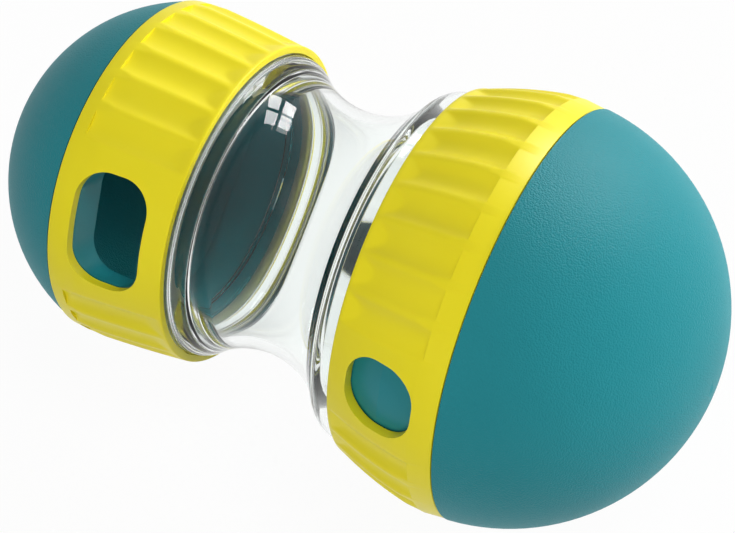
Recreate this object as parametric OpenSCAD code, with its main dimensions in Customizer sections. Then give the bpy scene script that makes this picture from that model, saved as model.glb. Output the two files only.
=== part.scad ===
// Rolling treat dispenser: a clear waist with a screw-in cup and an adjuster ring at each end.
// It lies on the floor at z = 0 on its two rings. The large end points to +X, the small end to -X.
// Each end is built along +X from the middle of the toy, and the small end is then turned about Z.

/* [Clear waist] */
// Outer radius at the narrowest place
waist_r = 27.3; // [26.5:0.1:28.5]
// Distance of the narrowest place from the middle, towards the small end
waist_shift = 4; // [3:0.1:5]
// Radius of the hollow curve on the outside
flare_r = 22; // [21:0.1:24]
// Wall of the waist
waist_wall = 2.4; // [1.8:0.1:3]
// How far the screw neck is set in from the outside of the collar
neck_set = 4.6; // [4.4:0.1:5]
// How far the collar reaches under the ring
collar_lap = 1; // [0.6:0.1:1.4]
// How far the seal is set into the collar's end
seal_set = 1; // [0.8:0.1:1.2]
// Rounding of the collar's shoulder
shoulder_round = 4; // [3:0.1:4.4]

/* [Large end] */
// Radius of the dome
large_dome_r = 44.7; // [43.5:0.1:46]
// Distance of the dome's centre from the middle
large_dome_at = 39.7; // [38.5:0.1:41]
// Distance of the ring's inner edge from the middle
large_ring_from = 20; // [19.6:0.1:20.4]
// Width of the ring
large_ring_w = 25; // [24.5:0.1:26]
// Radius of the ring at its inner edge
large_ring_r = 40.1; // [39.6:0.1:40.6]
// Radius of the ring at the end of its flutes
large_crest_r = 45.1; // [44.6:0.1:45.6]
// Swell of the ring between those two places
large_swell = 0.7; // [0.3:0.1:1]
// Radius of the ring at its outer edge
large_edge_r = 44.2; // [43.7:0.1:44.3]
// Width of the plain band beside the dome
large_band_w = 4.8; // [4:0.1:5.2]
// Width of the outlet along the toy
large_outlet_w = 15.6; // [14:0.1:16]
// Length of the outlet around the toy
large_outlet_len = 15.9; // [14:0.1:20]
// Distance of the outlet from the ring's inner edge
large_outlet_from = 4.5; // [4.2:0.1:5]
// Angle of the ring's hole from the top, towards -Y
large_hole_angle = 67; // [0:1:180]
// Angle that the ring is turned away from the cup's outlet
large_ring_turn = 100; // [0:1:180]
// Angle of the plain patch around the ring's hole
large_plain = 28.8; // [26:0.1:40]
// Number of flutes around the rest of the ring
large_flutes = 32; // [24:1:36]
// Depth of those flutes
large_flute_depth = 1.1; // [0.8:0.1:1.2]

/* [Small end] */
// Radius of the dome
small_dome_r = 38.6; // [37.8:0.1:39.5]
// Distance of the dome's centre from the middle
small_dome_at = 36.3; // [35:0.1:37]
// Distance of the ring's inner edge from the middle
small_ring_from = 21.3; // [20.9:0.1:21.7]
// Width of the ring
small_ring_w = 26.1; // [25.6:0.1:27]
// Radius of the ring at its inner edge
small_ring_r = 35.5; // [35.1:0.1:35.9]
// Radius of the ring at the end of its flutes
small_crest_r = 37.7; // [37.2:0.1:38.2]
// Swell of the ring between those two places
small_swell = 0.2; // [0.1:0.1:0.6]
// Radius of the ring at its outer edge
small_edge_r = 37.2; // [36.9:0.1:37.3]
// Width of the plain band beside the dome
small_band_w = 3; // [2.4:0.1:3.6]
// Width of the outlet along the toy
small_outlet_w = 16.1; // [14:0.1:16.4]
// Length of the outlet around the toy
small_outlet_len = 25; // [20:0.1:28]
// Distance of the outlet from the ring's inner edge
small_outlet_from = 5.1; // [4.8:0.1:5.6]
// Angle of the ring's hole from the top, towards -Y
small_hole_angle = 57.6; // [0:0.1:180]
// Angle that the ring is turned away from the cup's outlet
small_ring_turn = 0; // [0:1:180]
// Angle of the plain patch around the ring's hole
small_plain = 52.6; // [48:0.1:64]
// Number of flutes around the rest of the ring
small_flutes = 26; // [20:1:30]
// Depth of those flutes
small_flute_depth = 0.8; // [0.6:0.1:1]

/* [Walls and fits] */
// Wall of the cups
cup_wall = 2.6; // [2:0.1:3]
// Wall of the screw necks
neck_wall = 1.7; // [1.5:0.1:2]
// Wall of a ring at its inner edge
ring_edge_wall = 1.5; // [1.2:0.1:1.8]
// Wall of a ring under the crests of its flutes
ring_wall = 2.2; // [2:0.1:2.6]
// Thickness of the lip that holds a ring between the collar and its cup
lip_t = 1.2; // [1:0.1:1.4]
// How far that lip reaches in behind the collar
lip_reach = 1.8; // [1.4:0.1:2]
// Running gap between a ring and what it turns on
turn_gap = 0.3; // [0.2:0.05:0.4]
// Rounding of the outlet corners
outlet_round = 6.7; // [4:0.1:7]
// Wall of the chute around each outlet, on the inside of the cup
chute_wall = 1.6; // [1.2:0.1:2]
// How far that chute reaches inwards
chute_depth = 5; // [3:0.1:5]

/* [Flutes] */
// Step down from the flute crests to the band
band_step = 0.3; // [0.2:0.1:0.5]
// Plain margin between a ring's inner edge and its flutes
flute_margin = 0.6; // [0.4:0.1:1.5]
// Length over which a flute runs out beside that margin
flute_run_out = 4; // [3:0.1:6]
// Share of the flute spacing left as a crest
flute_land = 0.2; // [0.1:0.05:0.4]

/* [Screw] */
// Advance of a cup in one turn
screw_pitch = 3.6; // [3.4:0.1:4]
// Turns of thread on each neck and in each cup
screw_turns = 0.6; // [0.5:0.05:0.6]
// Length of the screw neck inside a cup
screw_depth = 3.9; // [3.7:0.1:4.1]
// Height of the thread
thread_h = 0.9; // [0.7:0.1:1]
// Gap between thread crests and the wall opposite, and at the end of the neck
thread_gap = 0.4; // [0.3:0.1:0.5]
// Width of the thread at its foot
thread_foot = 1.5; // [1.2:0.1:1.6]
// Width of the thread at its crest
thread_crest = 0.7; // [0.5:0.1:0.9]

/* [Hidden] */

// Sides of the round pieces, and steps in a turn of thread
round_sides = 120;
thread_steps = 32;
// How far the foot of a thread is sunk into its wall, and how far cutters reach past a face
sink = 0.5;
past = 8;
// How far a flute's cutter is carried on past its crests, as a share, and past its two ends
flute_over = 1.1;
flute_past = 3;

// The sizes of one end, in the order that the functions below read them
LARGE = [
  large_dome_r, large_dome_at, large_ring_from, large_ring_w, large_ring_r, large_crest_r, large_swell,
  large_edge_r, large_band_w, large_outlet_w, large_outlet_len, large_outlet_from, large_plain,
  large_flutes, large_flute_depth
];
SMALL = [
  small_dome_r, small_dome_at, small_ring_from, small_ring_w, small_ring_r, small_crest_r, small_swell,
  small_edge_r, small_band_w, small_outlet_w, small_outlet_len, small_outlet_from, small_plain,
  small_flutes, small_flute_depth
];
function dome_r(e) = e[0];
function dome_at(e) = e[1];
function ring_from(e) = e[2];
function ring_to(e) = e[2] + e[3];
function ring_r(e) = e[4];
function crest_r(e) = e[5];
function swell(e) = e[6];
function edge_r(e) = e[7];
function crest_at(e) = ring_to(e) - e[8];
function outlet_w(e) = e[9];
function outlet_len(e) = e[10];
function outlet_at(e) = ring_from(e) + e[11] + outlet_w(e) / 2;
function plain_angle(e) = e[12];
function flute_count(e) = e[13];
function flute_depth(e) = e[14];

// Places along an end, and radii, that follow from those sizes
seal_t = lip_t + 2 * turn_gap;
function collar_end(e) = ring_from(e) + collar_lap;
function shoulder_at(e) = collar_end(e) + seal_t;
function neck_end(e) = shoulder_at(e) + screw_depth;
function socket_end(e) = neck_end(e) + thread_gap;
function thread_at(e) = shoulder_at(e) + screw_depth / 2;
function dome_from(e) = ring_to(e) + turn_gap;
function sleeve_r(e) = ring_r(e) - ring_edge_wall;
function collar_r(e) = sleeve_r(e) - turn_gap;
function lip_r(e) = collar_r(e) - lip_reach;
function neck_r(e) = collar_r(e) - neck_set;
function socket_r(e) = neck_r(e) + thread_h + thread_gap;
function seal_in_r(e) = neck_r(e) + thread_h + turn_gap;
function seal_out_r(e) = lip_r(e) - turn_gap;
function ledge_r(e) = (seal_in_r(e) + seal_out_r(e)) / 2;
function ledge_at(e) = collar_end(e) - seal_set;

// Radius of the ring's outside, taken as a parabola that is close to its arc
function outside_r(e, at) =
  let (t = (at - ring_from(e)) / (crest_at(e) - ring_from(e)))
    ring_r(e) + (crest_r(e) - ring_r(e)) * t + 4 * swell(e) * t * (1 - t);

// The ring's bore follows that outside in two straight stretches, and the cup's skirt follows the bore
function bore_mid(e) = (shoulder_at(e) + crest_at(e)) / 2;
function bore_mid_r(e) = outside_r(e, bore_mid(e)) - ring_wall;
function bore_end_r(e) = crest_r(e) - ring_wall;

// The toy's axis leans so that both rings touch the floor
crest_gap = crest_at(LARGE) + crest_at(SMALL);
lean = atan((crest_r(LARGE) - crest_r(SMALL)) / crest_gap);
lift = crest_r(LARGE) * cos(lean) - crest_at(LARGE) * sin(lean);
// Half the difference between the two ends' reach, which brings the toy's box over the origin
middle = ((dome_at(LARGE) - dome_at(SMALL)) * cos(lean) + dome_r(LARGE) - dome_r(SMALL)) / 2;

// Frames: the whole toy on the floor, one end, and a place around the axis
module on_floor() {
  translate([-middle, 0, lift]) rotate([0, -lean, 0]) children();
}

module small_side() {
  rotate([0, 0, 180]) children();
}

module at_angle(angle) {
  rotate([angle, 0, 0]) children();
}

// Turns an outline about the toy's axis: its x is the radius and its y the place along the axis
module turned() {
  rotate([0, 90, 0]) rotate_extrude($fn = round_sides) children();
}

module band(r, from, to) {
  translate([0, from]) square([r, to - from]);
}

module gap_band(inner_r, outer_r, from, to) {
  translate([inner_r, from]) square([outer_r - inner_r, to - from]);
}

module disc_past(r, at, from) {
  intersection() {
    translate([0, at]) circle(r = r, $fn = round_sides);
    translate([0, from]) square([r, at + r - from]);
  }
}

// One ridge of thread: a trapezium swept along a helix about the axis
module thread(foot_r, tip_r, centre) {
  steps = ceil(screw_turns * thread_steps);
  outward = tip_r > foot_r;
  root_r = outward ? foot_r - sink : foot_r + sink;
  outline = [
    [root_r, -thread_foot / 2],
    [tip_r, -thread_crest / 2],
    [tip_r, thread_crest / 2],
    [root_r, thread_foot / 2]
  ];
  corners = len(outline);
  points = [
    for (i = [0:steps])
      let (angle = 360 * screw_turns * i / steps, at = centre + screw_pitch * screw_turns * (i / steps - 0.5))
        for (p = outline) [at + p[1], -p[0] * sin(angle), p[0] * cos(angle)]
  ];
  sides = [
    for (i = [0:steps - 1])
      for (c = [0:corners - 1])
        let (a = i * corners + c, b = i * corners + (c + 1) % corners)
          each [[a, b, b + corners], [a, b + corners, a + corners]]
  ];
  last = steps * corners;
  ends = [[2, 1, 0], [3, 2, 0], [last, last + 1, last + 2], [last, last + 2, last + 3]];
  faces = concat(sides, ends);
  polyhedron(points, outward ? faces : [for (f = faces) [f[2], f[1], f[0]]]);
}

// Half of the clear piece's outline, from the narrowest place out to the collar and its screw neck. A groove
// between those two keeps the wall even, and its wider mouth has a ledge for the seal.
module waist_half(e, shift) {
  curve = [waist_r + flare_r, shift];
  round_at = [
    collar_r(e) - shoulder_round,
    shift + sqrt(pow(flare_r + shoulder_round, 2) - pow(curve[0] - collar_r(e) + shoulder_round, 2))
  ];
  touch = curve + (round_at - curve) * flare_r / (flare_r + shoulder_round);
  difference() {
    union() {
      difference() {
        band(collar_r(e), shift, collar_end(e));
        translate(curve) circle(r = flare_r, $fn = round_sides);
        polygon([touch, [collar_r(e) + past, touch[1]], [collar_r(e) + past, round_at[1]], round_at]);
      }
      intersection() {
        translate(round_at) circle(r = shoulder_round, $fn = round_sides);
        band(collar_r(e), shift, round_at[1]);
      }
      band(neck_r(e), collar_end(e) - sink, neck_end(e));
    }
    difference() {
      union() {
        band(neck_r(e) - neck_wall, shift, neck_end(e) + past);
        gap_band(neck_r(e), ledge_r(e), shift, collar_end(e) + past);
      }
      translate(curve) circle(r = flare_r + waist_wall, $fn = round_sides);
    }
    gap_band(neck_r(e), lip_r(e), ledge_at(e), collar_end(e) + past);
  }
}

module neck_thread(e) {
  thread(neck_r(e), neck_r(e) + thread_h, thread_at(e));
}

module socket_thread(e) {
  at_angle(180) thread(socket_r(e), socket_r(e) - thread_h, thread_at(e));
}

module clear_waist() {
  color("lightcyan") on_floor() {
    turned() waist_half(LARGE, -waist_shift);
    small_side() turned() waist_half(SMALL, waist_shift);
    neck_thread(LARGE);
    small_side() neck_thread(SMALL);
  }
}

// The outlet's outline, and a cutter that stands on the axis and goes out through every wall
module outlet_outline(e, grow) {
  w = outlet_w(e) / 2 - outlet_round;
  l = outlet_len(e) / 2 - outlet_round;
  r = outlet_round + grow;
  square([2 * (w + r), 2 * l], center = true);
  square([2 * w, 2 * (l + r)], center = true);
  for (x = [-w, w], y = [-l, l]) translate([x, y]) circle(r = r, $fn = round_sides);
}

module outlet(e, angle) {
  at_angle(angle) translate([outlet_at(e), 0, 0]) linear_extrude(dome_r(e) + past) outlet_outline(e, 0);
}

// The skirt that runs under the ring
module skirt_outline(e) {
  polygon([
    [0, shoulder_at(e)],
    [sleeve_r(e) - turn_gap, shoulder_at(e)],
    [bore_mid_r(e) - turn_gap, bore_mid(e)],
    [bore_end_r(e) - turn_gap, crest_at(e)],
    [bore_end_r(e) - turn_gap, dome_from(e)],
    [0, dome_from(e)]
  ]);
}

// A cup: screw socket, skirt under the ring and dome, hollow throughout. Where the skirt meets the dome, the
// hollow leaves a full wall inside the narrower of the two.
module cup_outline(e) {
  hollow_to = dome_from(e) + cup_wall;
  rim_r = sqrt(pow(dome_r(e), 2) - pow(hollow_to - dome_at(e), 2));
  hollow_r = min(bore_end_r(e) - turn_gap, rim_r) - cup_wall;
  difference() {
    union() {
      skirt_outline(e);
      disc_past(dome_r(e), dome_at(e), dome_from(e));
    }
    band(socket_r(e), shoulder_at(e) - past, socket_end(e) + sink);
    polygon([
      [0, socket_end(e)],
      [sleeve_r(e) - turn_gap - cup_wall, socket_end(e)],
      [bore_mid_r(e) - turn_gap - cup_wall, bore_mid(e)],
      [hollow_r, crest_at(e)],
      [hollow_r, hollow_to],
      [0, hollow_to]
    ]);
    disc_past(dome_r(e) - cup_wall, dome_at(e), hollow_to);
  }
}

// A chute: a short wall around the outlet, standing inwards from the skirt behind the socket
module chute(e, angle) {
  chute_end = bore_mid_r(e) - turn_gap - cup_wall - chute_depth;
  intersection() {
    at_angle(angle) translate([outlet_at(e), 0, chute_end]) linear_extrude(dome_r(e))
      outlet_outline(e, chute_wall);
    turned() intersection() {
      skirt_outline(e);
      band(crest_r(e), socket_end(e), dome_from(e));
    }
  }
}

module cup(e, angle) {
  difference() {
    union() {
      turned() cup_outline(e);
      socket_thread(e);
      chute(e, angle);
    }
    outlet(e, angle);
  }
}

module large_cup() {
  color("teal") on_floor() cup(LARGE, large_hole_angle + large_ring_turn);
}

module small_cup() {
  color("teal") on_floor() small_side() cup(SMALL, -small_hole_angle - small_ring_turn);
}

// The ring's outside: a slight arc over the flutes, a step, then the plain band
module ring_outside(e) {
  run = crest_at(e) - ring_from(e);
  rise = crest_r(e) - ring_r(e);
  chord = sqrt(run * run + rise * rise);
  arc_r = (chord * chord / 4 + swell(e) * swell(e)) / (2 * swell(e));
  middle = [ring_r(e) + rise / 2, ring_from(e) + run / 2];
  inward = [-run / chord, rise / chord];
  intersection() {
    translate(middle + inward * (arc_r - swell(e))) circle(r = arc_r, $fn = 4 * round_sides);
    band(crest_r(e) + past, ring_from(e), crest_at(e));
  }
  polygon([
    [0, crest_at(e)],
    [crest_r(e) - band_step, crest_at(e)],
    [edge_r(e), ring_to(e)],
    [0, ring_to(e)]
  ]);
}

// The ring's inside: a sleeve over the collar, a lip between collar and cup, then a bore for the skirt
module ring_inside(e) {
  lip_at = collar_end(e) + turn_gap;
  band(sleeve_r(e), ring_from(e) - past, lip_at);
  band(lip_r(e), ring_from(e), ring_to(e));
  polygon([
    [0, lip_at + lip_t],
    [sleeve_r(e), lip_at + lip_t],
    [sleeve_r(e), shoulder_at(e)],
    [bore_mid_r(e), bore_mid(e)],
    [bore_end_r(e), crest_at(e)],
    [bore_end_r(e), ring_to(e) + past],
    [0, ring_to(e) + past]
  ]);
}

// A straight stretch of flute, cut with one outline along its floor and carried on past both ends
module flute_stretch(outline, from, to) {
  run = to - from;
  translate([to[0], 0, to[1]]) rotate([0, -atan(run[1] / run[0]), 0]) translate([flute_past, 0, 0])
    rotate([90, 0, -90]) linear_extrude(norm(run) + 2 * flute_past) polygon(outline);
}

// One flute: a groove with two even sides, which follows the ring's arc in two straight stretches
module flute(e, spacing) {
  half_angle = (1 - flute_land) * spacing / 2;
  side = flute_over * [
    crest_r(e) * sin(half_angle),
    crest_r(e) * cos(half_angle) - crest_r(e) + flute_depth(e)
  ];
  outline = [[0, 0], side, [side[0], past], [-side[0], past], [-side[0], side[1]]];
  mid = (ring_from(e) + crest_at(e)) / 2;
  floor_from = [ring_from(e), ring_r(e) - flute_depth(e)];
  floor_mid = [mid, outside_r(e, mid) - flute_depth(e)];
  floor_to = [crest_at(e), crest_r(e) - flute_depth(e)];
  flute_stretch(outline, floor_from, floor_mid);
  flute_stretch(outline, floor_mid, floor_to);
}

// What the flutes leave standing: the margin, a run-out that falls below the flutes, and the band
module flute_floor(e) {
  out_at = ring_from(e) + flute_margin;
  bend_at = out_at + flute_run_out;
  below = flute_over * flute_depth(e);
  clear_r = crest_r(e) + past;
  polygon([
    [0, ring_from(e) - past],
    [clear_r, ring_from(e) - past],
    [clear_r, out_at],
    [outside_r(e, out_at), out_at],
    [outside_r(e, bend_at) - below, bend_at],
    [crest_r(e) - below, crest_at(e)],
    [clear_r, crest_at(e)],
    [clear_r, ring_to(e) + past],
    [0, ring_to(e) + past]
  ]);
}

// The flutes fill the ring evenly, apart from a plain patch around its hole
module ring(e, angle) {
  spacing = (360 - plain_angle(e)) / flute_count(e);
  difference() {
    turned() difference() {
      ring_outside(e);
      ring_inside(e);
    }
    outlet(e, angle);
    difference() {
      for (i = [0:flute_count(e) - 1])
        at_angle(angle + plain_angle(e) / 2 + (i + 0.5) * spacing) flute(e, spacing);
      turned() flute_floor(e);
    }
  }
}

module large_ring() {
  color("gold") on_floor() ring(LARGE, large_hole_angle);
}

module small_ring() {
  color("gold") on_floor() small_side() ring(SMALL, -small_hole_angle);
}

// A seal around the neck, pressed between the cup's shoulder and the ledge in the collar
module seal(e) {
  turned() gap_band(seal_in_r(e), seal_out_r(e), ledge_at(e), shoulder_at(e));
}

module large_seal() {
  color("white") on_floor() seal(LARGE);
}

module small_seal() {
  color("white") on_floor() small_side() seal(SMALL);
}

clear_waist();
large_cup();
large_ring();
large_seal();
small_cup();
small_ring();
small_seal();
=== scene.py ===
# %% [markdown]
# # A rolling treat dispenser
# The toy has a clear waist, a teal cup screwed into each end of it, and a yellow adjuster ring
# around each cup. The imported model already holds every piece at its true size, so this lesson
# loads it as a fixed frame and adds what the eye needs: real plastics, soft edges, a floor,
# light and a camera.

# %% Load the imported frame
import math

import bmesh
import bpy
from mathutils import Matrix, Vector


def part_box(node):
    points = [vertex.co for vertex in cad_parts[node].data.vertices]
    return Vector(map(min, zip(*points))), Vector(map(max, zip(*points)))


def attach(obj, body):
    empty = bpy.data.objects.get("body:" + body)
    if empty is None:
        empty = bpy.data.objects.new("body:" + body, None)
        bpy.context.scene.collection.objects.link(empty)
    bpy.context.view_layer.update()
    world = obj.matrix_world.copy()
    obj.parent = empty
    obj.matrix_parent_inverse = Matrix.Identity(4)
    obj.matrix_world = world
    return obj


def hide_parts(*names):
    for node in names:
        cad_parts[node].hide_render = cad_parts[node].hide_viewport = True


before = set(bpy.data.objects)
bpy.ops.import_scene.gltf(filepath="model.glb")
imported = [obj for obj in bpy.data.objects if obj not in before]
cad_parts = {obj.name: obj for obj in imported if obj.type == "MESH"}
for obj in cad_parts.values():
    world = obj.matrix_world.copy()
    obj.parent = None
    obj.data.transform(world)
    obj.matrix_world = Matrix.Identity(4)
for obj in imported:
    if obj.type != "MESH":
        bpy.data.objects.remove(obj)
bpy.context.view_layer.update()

print("pieces in the frame:", sorted(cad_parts))

# %% [markdown]
# The toy lies on its two rings, and as one ring is larger, its axis leans. The lean could be
# measured by hand, but both seals are flat washers around that axis, so the middles of their
# boxes already give it. Everything that is round is built along X and then put in place with one
# matrix.

# %% Find the leaning axis
MM = 0.001
LARGE_SEAL_AT = 21.4 * MM


def middle_of(node):
    low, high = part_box(node)
    return (Vector(low) + Vector(high)) / 2


axis = (middle_of("large_seal") - middle_of("small_seal")).normalized()
lean = math.asin(axis.z)
toy_middle = middle_of("large_seal") - axis * LARGE_SEAL_AT
lay_down = Matrix.Translation(toy_middle) @ Matrix.Rotation(-lean, 4, "Y")
print("the axis leans by", round(math.degrees(lean), 2), "degrees")

# %% [markdown]
# Moulded plastic has slow, faint changes of tone and shine, so no finish here is one flat colour.
# Every finish reads Object coordinates. A Mapping node turns them so that X runs along the toy's
# axis, which lets a finish tell the dome from the skirt. The nodes that several finishes need are
# made by small helpers.

# %% Helpers for finishes
FIRST_TONE_UP_TO = 0.3
SECOND_TONE_FROM = 0.7


def new_finish(name):
    finish = bpy.data.materials.new(name)
    finish.use_nodes = True
    nodes = finish.node_tree.nodes
    return finish, nodes, finish.node_tree.links, nodes["Principled BSDF"]


def along_the_toy(nodes, links):
    coords = nodes.new("ShaderNodeTexCoord")
    turn = nodes.new("ShaderNodeMapping")
    turn.inputs["Rotation"].default_value = (0, lean, 0)
    turn.inputs["Location"].default_value = -(Matrix.Rotation(lean, 3, "Y") @ toy_middle)
    links.new(coords.outputs["Object"], turn.inputs["Vector"])
    return turn.outputs["Vector"]


def noise(nodes, links, place, size):
    made = nodes.new("ShaderNodeTexNoise")
    made.inputs["Scale"].default_value = 1 / size
    links.new(place, made.inputs["Vector"])
    return made.outputs["Fac"]


def spread(nodes, links, value, low, high):
    made = nodes.new("ShaderNodeMapRange")
    made.inputs["To Min"].default_value = low
    made.inputs["To Max"].default_value = high
    links.new(value, made.inputs["Value"])
    return made.outputs["Result"]


def two_tones(nodes, links, value, first, second):
    ramp = nodes.new("ShaderNodeValToRGB")
    ramp.color_ramp.elements[0].position = FIRST_TONE_UP_TO
    ramp.color_ramp.elements[0].color = (*first, 1)
    ramp.color_ramp.elements[1].position = SECOND_TONE_FROM
    ramp.color_ramp.elements[1].color = (*second, 1)
    links.new(value, ramp.inputs["Fac"])
    return ramp.outputs["Color"]


# %% [markdown]
# The cups are teal plastic. Their domes came out of a grained mould, so they are matte with small
# rounded cells, while the skirt under the ring is smooth so that the ring can turn. The cells
# could be modelled, but they are so small that a bump does as well, and a mask along the axis
# keeps them off the skirt.

# %% Teal finish
TEAL_DARK = (0.015, 0.222, 0.258)
TEAL_LIGHT = (0.018, 0.236, 0.272)
TEAL_TONE_SIZE = 25 * MM
TEAL_SHINE = 0.18
SKIRT_ROUGHNESS = 0.32
DOME_ROUGHNESS = 0.5
GRAIN_CELL = 0.36 * MM
GRAIN_HEIGHT = 0.09 * MM
MASK_SOFTNESS = 0.2 * MM
LARGE_GRAIN_FROM = 45.2 * MM
SMALL_GRAIN_FROM = 47.6 * MM


def teal_finish(name, grain_from, side):
    finish, nodes, links, plastic = new_finish(name)
    place = along_the_toy(nodes, links)
    tone = noise(nodes, links, place, TEAL_TONE_SIZE)
    colour = two_tones(nodes, links, tone, TEAL_DARK, TEAL_LIGHT)
    links.new(colour, plastic.inputs["Base Color"])
    split = nodes.new("ShaderNodeSeparateXYZ")
    links.new(place, split.inputs["Vector"])
    mask = nodes.new("ShaderNodeMapRange")
    mask.inputs["From Min"].default_value = side * grain_from
    mask.inputs["From Max"].default_value = side * (grain_from + MASK_SOFTNESS)
    links.new(split.outputs["X"], mask.inputs["Value"])
    cells = nodes.new("ShaderNodeTexVoronoi")
    cells.inputs["Scale"].default_value = 1 / GRAIN_CELL
    links.new(place, cells.inputs["Vector"])
    grain = nodes.new("ShaderNodeBump")
    grain.inputs["Distance"].default_value = GRAIN_HEIGHT
    grain.invert = True
    links.new(mask.outputs["Result"], grain.inputs["Strength"])
    links.new(cells.outputs["Distance"], grain.inputs["Height"])
    links.new(grain.outputs["Normal"], plastic.inputs["Normal"])
    plastic.inputs["Specular IOR Level"].default_value = TEAL_SHINE
    rough = spread(nodes, links, mask.outputs["Result"], SKIRT_ROUGHNESS, DOME_ROUGHNESS)
    links.new(rough, plastic.inputs["Roughness"])
    return finish


teal_large = teal_finish("teal_large", LARGE_GRAIN_FROM, 1)
teal_small = teal_finish("teal_small", SMALL_GRAIN_FROM, -1)
print("made for the cups:", teal_large.name, "and", teal_small.name)

# %% [markdown]
# The rings are yellow plastic with a satin shine. A little light enters such a bright plastic and
# comes out again nearby, so its shaded flutes stay warm. A brighter colour could imitate that,
# but it would also brighten what is lit, so the shader's subsurface weight does it.

# %% Yellow finish
YELLOW_DARK = (0.87, 0.75, 0.015)
YELLOW_LIGHT = (0.89, 0.77, 0.02)
YELLOW_TONE_SIZE = 18 * MM
YELLOW_SHINE = 0.25
SATIN_SPECK = 0.5 * MM
SATIN_SMOOTHEST = 0.3
SATIN_ROUGHEST = 0.42
INNER_LIGHT_SHARE = 0.1
INNER_LIGHT_REACH = (1, 0.8, 0.1)
INNER_LIGHT_DEPTH = 1 * MM


def yellow_finish():
    finish, nodes, links, plastic = new_finish("yellow_satin")
    place = along_the_toy(nodes, links)
    tone = noise(nodes, links, place, YELLOW_TONE_SIZE)
    colour = two_tones(nodes, links, tone, YELLOW_DARK, YELLOW_LIGHT)
    links.new(colour, plastic.inputs["Base Color"])
    speck = noise(nodes, links, place, SATIN_SPECK)
    rough = spread(nodes, links, speck, SATIN_SMOOTHEST, SATIN_ROUGHEST)
    links.new(rough, plastic.inputs["Roughness"])
    plastic.inputs["Specular IOR Level"].default_value = YELLOW_SHINE
    plastic.inputs["Subsurface Weight"].default_value = INNER_LIGHT_SHARE
    plastic.inputs["Subsurface Radius"].default_value = INNER_LIGHT_REACH
    plastic.inputs["Subsurface Scale"].default_value = INNER_LIGHT_DEPTH
    return finish


yellow_satin = yellow_finish()
print("made for the rings:", yellow_satin.name)

# %% [markdown]
# The seals are pale silicone, pressed between the cups and the clear collars. As a solid white
# they would stand out behind the clear plastic, so some light passes through them, and they show
# only faintly.

# %% Seal finish
SEAL_DARK = (0.86, 0.86, 0.79)
SEAL_LIGHT = (0.9, 0.9, 0.84)
SEAL_TONE_SIZE = 3 * MM
SEAL_SMOOTHEST = 0.25
SEAL_ROUGHEST = 0.35
SEAL_SEE_THROUGH = 0.8
SILICONE_IOR = 1.4


def seal_finish():
    finish, nodes, links, rubber = new_finish("pale_seal")
    place = along_the_toy(nodes, links)
    tone = noise(nodes, links, place, SEAL_TONE_SIZE)
    colour = two_tones(nodes, links, tone, SEAL_DARK, SEAL_LIGHT)
    links.new(colour, rubber.inputs["Base Color"])
    rough = spread(nodes, links, tone, SEAL_SMOOTHEST, SEAL_ROUGHEST)
    links.new(rough, rubber.inputs["Roughness"])
    rubber.inputs["Transmission Weight"].default_value = SEAL_SEE_THROUGH
    rubber.inputs["IOR"].default_value = SILICONE_IOR
    return finish


pale_seal = seal_finish()
print("made for the seals:", pale_seal.name)

# %% [markdown]
# The waist is clear plastic with a toned-down mirror. A body that bends light would throw a black
# shadow, because lamps can't find their way through it, so for shadow rays alone the plastic is
# swapped for a plain transparent shader. The swap is a helper, since the floor and the room also
# show one thing to some rays and another to the rest.

# %% Clear finish
CLEAR_TINT = (0.96, 0.985, 0.975, 1)
CLEAR_MIRROR = (0.35, 0.35, 0.35, 1)
CLEAR_SHADOW = (0.4, 0.46, 0.45, 1)
CLEAR_IOR = 1.5
HAZE_SIZE = 12 * MM
HAZE_ROUGHEST = 0.03


def swap_shader(nodes, links, when, usual, swapped, output):
    choose = nodes.new("ShaderNodeMixShader")
    links.new(when, choose.inputs["Fac"])
    links.new(usual, choose.inputs[1])
    links.new(swapped, choose.inputs[2])
    links.new(choose.outputs["Shader"], output.inputs["Surface"])


def clear_finish():
    finish, nodes, links, plastic = new_finish("clear_plastic")
    place = along_the_toy(nodes, links)
    haze = noise(nodes, links, place, HAZE_SIZE)
    links.new(spread(nodes, links, haze, 0, HAZE_ROUGHEST), plastic.inputs["Roughness"])
    plastic.inputs["Base Color"].default_value = CLEAR_TINT
    plastic.inputs["Transmission Weight"].default_value = 1
    plastic.inputs["IOR"].default_value = CLEAR_IOR
    plastic.inputs["Specular Tint"].default_value = CLEAR_MIRROR
    lamp_pass = nodes.new("ShaderNodeBsdfTransparent")
    lamp_pass.inputs["Color"].default_value = CLEAR_SHADOW
    shadow_ray = nodes.new("ShaderNodeLightPath").outputs["Is Shadow Ray"]
    usual, swapped = plastic.outputs["BSDF"], lamp_pass.outputs["BSDF"]
    swap_shader(nodes, links, shadow_ray, usual, swapped, nodes["Material Output"])
    return finish


clear_plastic = clear_finish()
print("made for the waist:", clear_plastic.name)

# %% [markdown]
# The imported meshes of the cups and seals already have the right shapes, so they stay and only
# change their finish. The waist and the rings are remade further on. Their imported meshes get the
# same finishes, so that the frame is complete without the new pieces too.

# %% Give each piece of the frame its finish
FINISHES = {
    "large_cup": teal_large,
    "small_cup": teal_small,
    "large_ring": yellow_satin,
    "small_ring": yellow_satin,
    "large_seal": pale_seal,
    "small_seal": pale_seal,
    "clear_waist": clear_plastic,
}
for node, finish in FINISHES.items():
    for material_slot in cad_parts[node].material_slots:
        material_slot.material = finish
print("finishes given to", len(FINISHES), "pieces")

# %% [markdown]
# The clear waist is one hollow moulding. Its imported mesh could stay, but light that bends through
# it shows every facet, so it is remade with smooth faces. Half a section is drawn as one outline:
# lines are extruded from the last point, and round stretches are that point spun about their
# centres.

# %% Tools for an outline
ARC_STEPS = 40
CORNER_STEPS = 4
WELD_DISTANCE = 0.001 * MM


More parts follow.
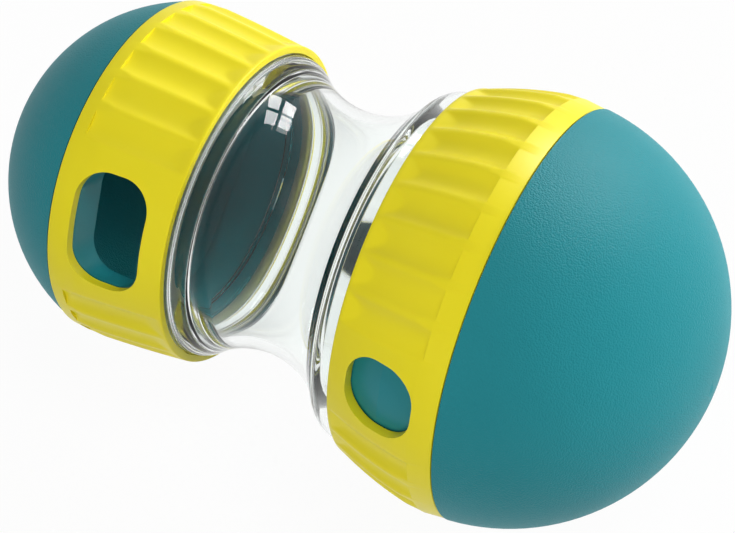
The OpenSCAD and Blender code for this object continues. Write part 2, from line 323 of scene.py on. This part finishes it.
def line_to(bm, point, x, z):
    end = bmesh.ops.extrude_vert_indiv(bm, verts=[point])["verts"][0]
    end.co = (x, 0, z)
    return end


def lines_to(bm, point, places):
    made = [point]
    for x, z in places:
        made.append(line_to(bm, made[-1], x, z))
    return made[1:]


def arc_about(bm, point, x, z, angle):
    made = bmesh.ops.spin(
        bm,
        geom=[point],
        cent=(x, 0, z),
        axis=(0, 1, 0),
        dvec=(0, 0, 0),
        angle=angle,
        steps=ARC_STEPS,
    )
    return next(item for item in made["geom_last"] if isinstance(item, bmesh.types.BMVert))


def round_off(bm, corners, size, steps=CORNER_STEPS):
    bmesh.ops.bevel(
        bm,
        geom=corners,
        offset=size,
        segments=steps,
        profile=0.5,
        affect="VERTICES",
        material=-1,
    )


def weld(bm):
    bmesh.ops.remove_doubles(bm, verts=bm.verts, dist=WELD_DISTANCE)


# %% [markdown]
# At each end the waist flares into a collar. The end of the collar has a groove with a ledge for
# the seal, and the screw neck stands inside the groove, whose flat floor bends the light into a
# pale band. Each end could be drawn on its own, but both have the same form, so a class holds the
# sizes, given in millimetres, and side says which way the collar points.

# %% Sizes of the collars
WAIST_AT = -4 * MM
FLARE_MIDDLE_R = 49.3 * MM
FLARE_R = 22 * MM
FLARE_INNER_R = 24.4 * MM
SHOULDER_ROUND = 4 * MM


class Collar:
    def __init__(self, side, collar_r, lip_r, ledge_r, neck_r, bore_r):
        self.side = side
        self.collar_r = collar_r * MM
        self.lip_r = lip_r * MM
        self.ledge_r = ledge_r * MM
        self.neck_r = neck_r * MM
        self.bore_r = bore_r * MM
        up = FLARE_MIDDLE_R - self.collar_r + SHOULDER_ROUND
        along = math.sqrt((FLARE_R + SHOULDER_ROUND) ** 2 - up**2)
        self.shoulder_turn = math.atan2(along, up)
        self.shoulder_x = WAIST_AT + side * along
        self.shoulder_z = self.collar_r - SHOULDER_ROUND

    def set_ends(self, floor_at, ledge_at, collar_end, neck_end):
        self.floor_x = self.side * floor_at * MM
        self.ledge_x = self.side * ledge_at * MM
        self.end_x = self.side * collar_end * MM
        self.tip_x = self.side * neck_end * MM

    def flare_turn(self, r):
        return math.acos((FLARE_MIDDLE_R - r) / FLARE_INNER_R)

    def on_flare(self, r):
        return (WAIST_AT + self.side * FLARE_INNER_R * math.sin(self.flare_turn(r)), r)

    def skirt(self):
        mouth = [(self.end_x, self.collar_r), (self.end_x, self.lip_r), (self.ledge_x, self.lip_r)]
        return [*mouth, (self.ledge_x, self.ledge_r), (self.floor_x, self.ledge_r)]

    def neck(self):
        wall = [(self.floor_x, self.neck_r), (self.tip_x, self.neck_r)]
        return [*wall, (self.tip_x, self.bore_r), self.on_flare(self.bore_r)]


large_collar = Collar(
    side=1, collar_r=38.3, lip_r=36.5, ledge_r=35.55, neck_r=33.7, bore_r=32.0
)
large_collar.set_ends(floor_at=15.5, ledge_at=20, collar_end=21, neck_end=26.7)
small_collar = Collar(
    side=-1, collar_r=33.7, lip_r=31.9, ledge_r=30.95, neck_r=29.1, bore_r=27.4
)
small_collar.set_ends(floor_at=18.2, ledge_at=21.3, collar_end=22.3, neck_end=28)
for collar in (large_collar, small_collar):
    print("a collar is", round(2 * collar.collar_r / MM, 1), "mm across")

# %% [markdown]
# The outline starts at the narrowest place, goes out to the large end, back through the bore to
# the small end, and home again. It could be made of two mirrored halves if the ends were alike.
# As they differ, it is one line, and its corners are rounded a little, because no moulding has
# sharp rims.

# %% Draw the waist's outline
RIM_ROUND = 0.3 * MM


def draw_waist(bm, large, small):
    start = bm.verts.new((WAIST_AT, 0, FLARE_MIDDLE_R - FLARE_R))
    point = arc_about(bm, start, WAIST_AT, FLARE_MIDDLE_R, -large.shoulder_turn)
    point = arc_about(bm, point, large.shoulder_x, large.shoulder_z, large.shoulder_turn)
    rims = lines_to(bm, point, large.skirt())
    rims += lines_to(bm, rims[-1], large.neck())
    bore_turn = large.flare_turn(large.bore_r) + small.flare_turn(small.bore_r)
    point = arc_about(bm, rims.pop(), WAIST_AT, FLARE_MIDDLE_R, bore_turn)
    rims += lines_to(bm, point, small.neck()[2::-1])
    rims += lines_to(bm, rims[-1], small.skirt()[::-1])
    point = line_to(bm, rims[-1], small.shoulder_x, small.collar_r)
    point = arc_about(bm, point, small.shoulder_x, small.shoulder_z, small.shoulder_turn)
    arc_about(bm, point, WAIST_AT, FLARE_MIDDLE_R, -small.shoulder_turn)
    weld(bm)
    round_off(bm, rims, RIM_ROUND)


outline = bmesh.new()
draw_waist(outline, large_collar, small_collar)
print("points in the waist's outline:", len(outline.verts))

# %% [markdown]
# Each screw neck carries a short ridge of thread, which pulls the cup in as it turns. Such a ridge
# could be a curve with a profile. Here it is a small four-sided face, spun about the axis while it
# moves along it, because that gives a closed mesh that is ready to be joined to the neck.

# %% Make the threads
THREAD_STEPS = 60
THREAD_TURN = math.radians(216)
THREAD_PITCH = 3.6 * MM
THREAD_FOOT = 1.5 * MM
THREAD_CREST = 0.7 * MM
THREAD_HEIGHT = 0.9 * MM
THREAD_SINK = 0.5 * MM
LARGE_THREAD_AT = 24.75 * MM
SMALL_THREAD_AT = 26.05 * MM


def turn_all(bm, angle, about):
    turn = Matrix.Rotation(angle, 3, about)
    bmesh.ops.rotate(bm, cent=(0, 0, 0), matrix=turn, verts=bm.verts)


def thread_ridge(neck_r, middle_at):
    bm = bmesh.new()
    travel = THREAD_PITCH * THREAD_TURN / math.tau
    root = neck_r - THREAD_SINK
    tip = neck_r + THREAD_HEIGHT
    corners = [
        (-THREAD_FOOT / 2, root),
        (-THREAD_CREST / 2, tip),
        (THREAD_CREST / 2, tip),
        (THREAD_FOOT / 2, root),
    ]
    verts = [bm.verts.new((middle_at - travel / 2 + x, 0, z)) for x, z in corners]
    face = bm.faces.new(verts)
    bmesh.ops.spin(
        bm,
        geom=[*verts, *face.edges, face],
        cent=(0, 0, 0),
        axis=(1, 0, 0),
        dvec=(travel / THREAD_STEPS, 0, 0),
        angle=THREAD_TURN,
        steps=THREAD_STEPS,
    )
    open_edges = [edge for edge in bm.edges if len(edge.link_faces) == 1]
    bmesh.ops.holes_fill(bm, edges=open_edges, sides=0)
    bmesh.ops.recalc_face_normals(bm, faces=bm.faces)
    return bm


large_thread = thread_ridge(large_collar.neck_r, LARGE_THREAD_AT)
small_thread = thread_ridge(small_collar.neck_r, SMALL_THREAD_AT)
turn_all(small_thread, math.pi, "Z")
print("faces of a thread:", len(large_thread.faces))

# %% [markdown]
# The outline is spun once around the toy's axis, and the threads are joined to the necks. They
# could just be stuck into the necks, but then light would meet walls inside the clear plastic, so
# a Boolean makes them one body.

# %% Spin the waist and join the threads
TURN_STEPS = 192
WAIST_SHARP_FROM = math.radians(35)


def full_turn(bm):
    bmesh.ops.spin(
        bm,
        geom=[*bm.verts, *bm.edges],
        cent=(0, 0, 0),
        axis=(1, 0, 0),
        dvec=(0, 0, 0),
        angle=math.tau,
        steps=TURN_STEPS,
        use_merge=True,
    )
    weld(bm)
    bmesh.ops.recalc_face_normals(bm, faces=bm.faces)


def new_piece(name, bm, finish):
    mesh = bpy.data.meshes.new(name)
    bm.to_mesh(mesh)
    bm.free()
    mesh.shade_smooth()
    mesh.materials.append(finish)
    piece = bpy.data.objects.new(name, mesh)
    bpy.context.scene.collection.objects.link(piece)
    return piece


def combine(body, tool, operation):
    change = body.modifiers.new("combine", "BOOLEAN")
    change.operation = operation
    change.solver = "EXACT"
    change.object = tool
    shown = body.evaluated_get(bpy.context.evaluated_depsgraph_get())
    combined = bpy.data.meshes.new_from_object(shown)
    body.modifiers.clear()
    body.data = combined
    bpy.data.objects.remove(tool)


full_turn(outline)
waist = new_piece("clear_waist_body", outline, clear_plastic)
combine(waist, new_piece("large_thread", large_thread, clear_plastic), "UNION")
combine(waist, new_piece("small_thread", small_thread, clear_plastic), "UNION")
waist.data.transform(lay_down)
waist.data.set_sharp_from_angle(angle=WAIST_SHARP_FROM)
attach(waist, "clear_waist")
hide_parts("clear_waist")
print("waist faces:", len(waist.data.polygons))

# %% [markdown]
# A treat falls out through the hole in an adjuster ring, and turning the ring sets how much of the
# cup's outlet is open. Both rings have flutes for the fingers, a plain patch around the hole and a
# stepped bore. They could be two drawings, but they differ only in size, so a class holds the
# sizes, in millimetres and degrees.

# %% Sizes of the rings


class Ring:
    def __init__(self, side, start, start_r, end, edge_r, crest_at, crest_r, swell, bore):
        self.side = side
        self.start = start * MM
        self.start_r = start_r * MM
        self.end = end * MM
        self.edge_r = edge_r * MM
        self.crest_at = crest_at * MM
        self.crest_r = crest_r * MM
        self.swell = swell * MM
        self.bore = [(x * MM, z * MM) for x, z in bore]

    def set_flutes(self, count, depth, plain):
        self.count = count
        self.depth = depth * MM
        self.plain = math.radians(plain)
        self.spacing = (math.tau - self.plain) / count

    def set_hole(self, angle, at, width, length):
        self.hole_angle = self.side * math.radians(angle)
        self.hole_at = at * MM
        self.hole_width = width * MM
        self.hole_length = length * MM

    def outside_r(self, x):
        t = (x - self.start) / (self.crest_at - self.start)
        return self.start_r + (self.crest_r - self.start_r) * t + 4 * self.swell * t * (1 - t)


large_bore = [(45, 42.9), (40.2, 42.9), (31.5, 41.4), (22.8, 38.6), (22.5, 38.6), (22.5, 36.5)]
large_bore += [(21.3, 36.5), (21.3, 38.6), (20, 38.6)]
large_ring = Ring(
    side=1,
    start=20,
    start_r=40.1,
    end=45,
    edge_r=44.2,
    crest_at=40.2,
    crest_r=45.1,
    swell=0.7,
    bore=large_bore,
)
large_ring.set_flutes(count=32, depth=1.3, plain=28.8)
large_ring.set_hole(angle=67, at=32.3, width=15.6, length=15.9)
small_bore = [(47.4, 35.5), (44.4, 35.5), (34.25, 34.7), (24.1, 34), (23.8, 34), (23.8, 31.9)]
small_bore += [(22.6, 31.9), (22.6, 34), (21.3, 34)]
small_ring = Ring(
    side=-1,
    start=21.3,
    start_r=35.5,
    end=47.4,
    edge_r=37.2,
    crest_at=44.4,
    crest_r=37.7,
    swell=0.2,
    bore=small_bore,
)
small_ring.set_flutes(count=26, depth=1, plain=52.6)
small_ring.set_hole(angle=57.6, at=34.45, width=16.1, length=25)
print("flutes:", large_ring.count, "and", small_ring.count)

# %% [markdown]
# The ring's outside swells a little between the clear waist and its crest, where a narrow plain
# band begins beside the dome. The swell could be a row of points, but one arc is smoother. Its
# centre follows from the two ends of the arc and the height of the swell.

# %% Draw a ring's outline
BAND_STEP = 0.3 * MM
EDGE_ROUND = 0.2 * MM


def draw_ring(bm, ring):
    run = ring.crest_at - ring.start
    rise = ring.crest_r - ring.start_r
    chord = math.hypot(run, rise)
    arc_r = (chord**2 / 4 + ring.swell**2) / (2 * ring.swell)
    inward = (arc_r - ring.swell) / chord
    middle_x = ring.start + run / 2 + rise * inward
    middle_z = ring.start_r + rise / 2 - run * inward
    start = bm.verts.new((ring.start, 0, ring.start_r))
    crest = arc_about(bm, start, middle_x, middle_z, 2 * math.asin(chord / 2 / arc_r))
    step = line_to(bm, crest, ring.crest_at, ring.crest_r - BAND_STEP)
    edge = line_to(bm, step, ring.end, ring.edge_r)
    bore = lines_to(bm, edge, ring.bore)
    bm.edges.new((bore[-1], start))
    round_off(bm, [start, edge], EDGE_ROUND)


for ring in (large_ring, small_ring):
    print("a ring is", round(2 * ring.crest_r / MM, 1), "mm across at its crest")

# %% [markdown]
# The flutes are round scoops between narrow soft crests, with a slanted start beside the clear
# waist, and the crests run down to the plain band. Cutting each scoop with a Boolean would leave
# hard edges, so each point of the spun face sinks instead, by the depth that the flute has there.
# A square root with a small extra term softens each corner of that depth.

# %% Press in the flutes
FLUTE_MARGIN = 0.6 * MM
SCOOP_SHARE = 0.43
CREST_SOFT = 0.1
RUN_OUT = 4 * MM
RUN_OUT_SOFT = 0.2 * MM
RUN_OUT_DEPTH_SHARE = 1.1
BAND_BLEND = 4 * MM
FACE_MARGIN = 0.15 * MM
CREST_MARGIN = 0.01 * MM


def band_sink(ring, x):
    share = min(1, max(0, (x - ring.crest_at) / BAND_BLEND + 1))
    return BAND_STEP * share**2 * (3 - 2 * share)


def flute_sink(ring, x, turned):
    if turned > math.tau - ring.plain:
        return 0
    across = turned / ring.spacing % 1 - 0.5
    scoop = 1 - (across / SCOOP_SHARE) ** 2
    wave = ring.depth * (scoop + math.hypot(scoop, CREST_SOFT)) / 2
    slope = min(1, max(0, (x - ring.start - FLUTE_MARGIN) / RUN_OUT))
    floor = RUN_OUT_DEPTH_SHARE * ring.depth * slope
    return max(0, (wave + floor - math.hypot(wave - floor, RUN_OUT_SOFT)) / 2)


def on_fluted_face(ring, x, r):
    beside_band = ring.start < x < ring.crest_at + CREST_MARGIN
    return beside_band and r > ring.outside_r(x) - FACE_MARGIN


def press_flutes(bm, ring, first_turn):
    for vert in bm.verts:
        x, y, z = vert.co
        r = math.hypot(y, z)
        if on_fluted_face(ring, x, r):
            turned = (math.atan2(-y, z) - first_turn) % math.tau
            shrink = 1 - max(flute_sink(ring, x, turned), band_sink(ring, x)) / r
            vert.co = (x, y * shrink, z * shrink)


for ring in (large_ring, small_ring):
    deepest = flute_sink(ring, ring.crest_at - BAND_BLEND, ring.spacing / 2)
    print("a flute is", round(deepest / MM, 2), "mm deep")

# %% [markdown]
# The hole in a ring is a rounded oblong that goes straight through its wall. It could be drawn
# into the wall's faces, but the wall is curved. A rounded block that is taken away from the ring
# is simpler, and it leaves a clean edge.

# %% Make the block that cuts a hole
HOLE_ROUND = 6.7 * MM
HOLE_STEPS = 16
HALF_SIDE = 0.5


def hole_cutter(ring):
    bm = bmesh.new()
    bmesh.ops.create_grid(bm, x_segments=1, y_segments=1, size=HALF_SIDE)
    bmesh.ops.scale(bm, vec=(ring.hole_width, ring.hole_length, 1), verts=bm.verts)
    round_off(bm, list(bm.verts), HOLE_ROUND, HOLE_STEPS)
    outline_up = bmesh.ops.extrude_face_region(bm, geom=list(bm.faces))
    raised = [item for item in outline_up["geom"] if isinstance(item, bmesh.types.BMVert)]
    bmesh.ops.translate(bm, vec=(0, 0, 2 * ring.crest_r), verts=raised)
    bmesh.ops.translate(bm, vec=(ring.hole_at, 0, 0), verts=bm.verts)
    turn_all(bm, ring.hole_angle, "X")
    bmesh.ops.recalc_face_normals(bm, faces=bm.faces)
    return bm


for ring in (large_ring, small_ring):
    hole_size = (round(ring.hole_width / MM, 1), round(ring.hole_length / MM, 1))
    print("a hole is", *hole_size, "mm along and around the ring")

# %% [markdown]
# A ring's outline is spun twice: over the fluted part in small steps, and over the plain patch
# around its hole. One even spin would be shorter, but its steps would then miss the crests. The
# small ring is built like the large one and turned end for end.

# %% Make both rings
FLUTE_STEPS = 18
PLAIN_STEPS = 36
RING_SHARP_FROM = math.radians(40)


def turn_on(bm, geom, angle, steps):
    made = bmesh.ops.spin(
        bm,
        geom=geom,
        cent=(0, 0, 0),
        axis=(1, 0, 0),
        dvec=(0, 0, 0),
        angle=angle,
        steps=steps,
    )
    return made["geom_last"]


def make_ring(name, ring):
    bm = bmesh.new()
    draw_ring(bm, ring)
    first_turn = ring.hole_angle + ring.plain / 2
    turn_all(bm, first_turn, "X")
    fluted = math.tau - ring.plain
    last = turn_on(bm, [*bm.verts, *bm.edges], fluted, ring.count * FLUTE_STEPS)
    turn_on(bm, last, ring.plain, PLAIN_STEPS)
    weld(bm)
    press_flutes(bm, ring, first_turn)
    weld(bm)
    bmesh.ops.recalc_face_normals(bm, faces=bm.faces)
    piece = new_piece(name + "_body", bm, yellow_satin)
    combine(piece, new_piece("hole", hole_cutter(ring), yellow_satin), "DIFFERENCE")
    if ring.side < 0:
        piece.data.transform(Matrix.Rotation(math.pi, 4, "Z"))
    piece.data.transform(lay_down)
    piece.data.set_sharp_from_angle(angle=RING_SHARP_FROM)
    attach(piece, name)
    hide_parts(name)
    print(name, "has", len(piece.data.polygons), "faces")


make_ring("large_ring", large_ring)
make_ring("small_ring", small_ring)

# %% [markdown]
# The photograph was taken from above and a little to the right, with a long lens. A camera can be
# aimed by hand until the picture fits. These numbers were solved from the outlines of the domes
# and rings instead, so they are not round.

# %% Camera
CAMERA_AT = (0.124826, -0.226197, 0.422163)
CAMERA_TILT = math.radians(33.71)
CAMERA_TURN = math.radians(28.446)
LENS = 108.115
SENSOR_WIDTH = 36
NEAREST_SEEN = 0.01

camera = bpy.data.objects.new("camera", bpy.data.cameras.new("camera"))
bpy.context.scene.collection.objects.link(camera)
camera.location = CAMERA_AT
camera.rotation_euler = (CAMERA_TILT, 0, CAMERA_TURN)
camera.data.lens = LENS
camera.data.sensor_width = SENSOR_WIDTH
camera.data.clip_start = NEAREST_SEEN
bpy.context.scene.camera = camera
print("the camera is", round(camera.location.length, 3), "m from the origin")

# %% [markdown]
# The floor is white. More light could make it so, but then the toy would be too bright. So most of
# what the camera sees of it, directly or by way of the clear plastic, is a white of its own, and
# the rest is lit paint, which keeps the toy's soft shadow.

# %% Floor
FLOOR_HALF = 3
FLOOR_PAINT = (0.45, 0.45, 0.45, 1)
FLOOR_ROUGHNESS = 0.9
FLOOR_WHITE = 1.03
FLOOR_WHITE_SHARE = 0.93


def work_out(nodes, links, operation, first, second):
    made = nodes.new("ShaderNodeMath")
    made.operation = operation
    made.use_clamp = True
    links.new(first, made.inputs[0])
    links.new(second, made.inputs[1])
    return made.outputs["Value"]


def mirrored_or_through(nodes, links, path):
    mirrored, through = path.outputs["Is Glossy Ray"], path.outputs["Is Transmission Ray"]
    return work_out(nodes, links, "MAXIMUM", mirrored, through)


def floor_finish():
    finish, nodes, links, paint = new_finish("floor_white")
    paint.inputs["Base Color"].default_value = FLOOR_PAINT
    paint.inputs["Roughness"].default_value = FLOOR_ROUGHNESS
    paint.inputs["Specular IOR Level"].default_value = 0
    white = nodes.new("ShaderNodeEmission")
    white.inputs["Strength"].default_value = FLOOR_WHITE
    path = nodes.new("ShaderNodeLightPath")
    indirect = mirrored_or_through(nodes, links, path)
    seen = work_out(nodes, links, "MAXIMUM", path.outputs["Is Camera Ray"], indirect)
    share = spread(nodes, links, seen, 0, FLOOR_WHITE_SHARE)
    usual, swapped = paint.outputs["BSDF"], white.outputs["Emission"]
    swap_shader(nodes, links, share, usual, swapped, nodes["Material Output"])
    return finish


floor_mesh = bmesh.new()
bmesh.ops.create_grid(floor_mesh, x_segments=1, y_segments=1, size=FLOOR_HALF)
floor = new_piece("floor", floor_mesh, floor_finish())
print("the floor is", 2 * FLOOR_HALF, "m wide")

# %% [markdown]
# A window behind the toy is only there to be mirrored: its four panes show in the clear plastic
# and put a soft sheen on the domes. One large lamp could light the toy as well, but it would
# clutter the clear plastic. So four broad lights that no mirror shows do the lighting: a low one
# behind and one to the right model the domes, one overhead picks out the flutes, and a weak one
# in front fills the shade.

# %% Window and broad lights
AIM = Vector((0, 0, 0.04))
WINDOW_AT = Vector((0.16, 0.68, 0.61))
PANE_WIDTH = 0.15
PANE_HEIGHT = 0.18
PANE_GAP = 0.045
PANE_POWER = 2.5
HALF_EACH_WAY = (-0.5, 0.5)


def area_light(name, place, aim, width, height, power):
    light = bpy.data.lights.new(name, "AREA")
    light.shape = "RECTANGLE"
    light.size = width
    light.size_y = height
    light.energy = power
    lamp = bpy.data.objects.new(name, light)
    bpy.context.scene.collection.objects.link(lamp)
    lamp.location = place
    lamp.rotation_euler = aim.to_euler()
    return lamp


def turn_from(place):
    return (place - AIM).to_track_quat("Z", "Y")


def window():
    aim = turn_from(WINDOW_AT)
    for column in HALF_EACH_WAY:
        for row in HALF_EACH_WAY:
            across = column * (PANE_WIDTH + PANE_GAP)
            up = row * (PANE_HEIGHT + PANE_GAP)
            place = WINDOW_AT + aim @ Vector((across, up, 0))
            pane = area_light("pane", place, aim, PANE_WIDTH, PANE_HEIGHT, PANE_POWER)
            pane.visible_diffuse = False


def broad_light(name, at, width, height, power):
    place = Vector(at)
    lamp = area_light(name, place, turn_from(place), width, height, power)
    lamp.visible_glossy = False
    lamp.visible_transmission = False


window()
broad_light("back", at=(-0.05, 0.88, 0.36), width=0.5, height=0.2, power=3.6)
broad_light("side", at=(0.78, 0.5, 0.27), width=0.4, height=0.3, power=7)
broad_light("overhead", at=(0.25, 0.05, 0.95), width=0.3, height=0.3, power=3)
broad_light("front", at=(0.1, -0.8, 0.36), width=0.4, height=0.4, power=2.7)
print("lights made:", [lamp.name for lamp in bpy.data.lights])

# %% [markdown]
# The room is white where it is seen directly, mirrored or through the clear plastic, and only a
# soft even light otherwise. A plain white world would be simpler, but it would wash out the shade.
# Light that has already left a matt surface counts as soft, or the cups would glow inside. The
# Standard view then shows each colour as it is written.

# %% Room light
WHITE = (1, 1, 1, 1)
SOFT_STRENGTH = 0.22


def room():
    world = bpy.data.worlds.new("room")
    bpy.context.scene.world = world
    world.use_nodes = True
    nodes = world.node_tree.nodes
    links = world.node_tree.links
    soft = nodes["Background"]
    soft.inputs["Color"].default_value = WHITE
    soft.inputs["Strength"].default_value = SOFT_STRENGTH
    white = nodes.new("ShaderNodeBackground")
    white.inputs["Color"].default_value = WHITE
    path = nodes.new("ShaderNodeLightPath")
    indirect = mirrored_or_through(nodes, links, path)
    unspread = work_out(nodes, links, "SUBTRACT", indirect, path.outputs["Diffuse Depth"])
    seen = work_out(nodes, links, "MAXIMUM", path.outputs["Is Camera Ray"], unspread)
    usual, swapped = soft.outputs["Background"], white.outputs["Background"]
    swap_shader(nodes, links, seen, usual, swapped, nodes["World Output"])
    return world


print("made around the toy:", room().name)
bpy.context.scene.view_settings.view_transform = "Standard"
